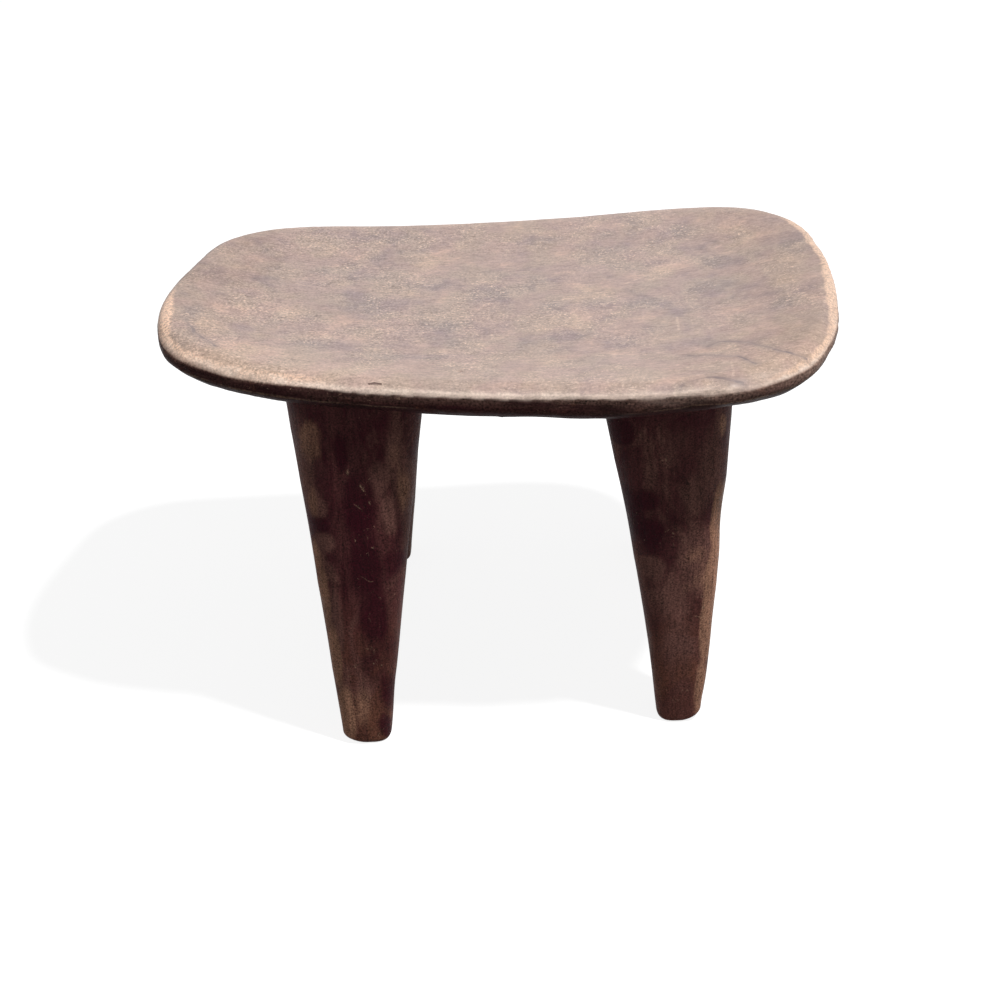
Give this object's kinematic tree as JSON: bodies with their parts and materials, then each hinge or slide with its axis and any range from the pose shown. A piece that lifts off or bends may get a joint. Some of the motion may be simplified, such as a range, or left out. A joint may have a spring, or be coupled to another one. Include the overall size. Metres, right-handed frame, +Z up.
{
  "type": "senufo stool",
  "caption": "Low carved wooden stool with a long dished seat, curved up at its ends, on four tapering splayed legs.",
  "frame": {"origin": "on the floor, under the middle of the stool's bounding box", "axes": "+X runs along the seat to its wide end, +Y from the front edge to the back edge, +Z up"},
  "size_m": [0.51, 0.3361, 0.3298],
  "materials": {
    "seat_wood": "worn, hand-polished hardwood with a satin patina",
    "leg_wood": "dark, smoke-aged hardwood, low sheen"
  },
  "bodies": {
    "root": {"seat": "seat_wood", "leg_front_left": "leg_wood", "leg_front_right": "leg_wood", "leg_rear_left": "leg_wood", "leg_rear_right": "leg_wood"}
  },
  "joints": []
}
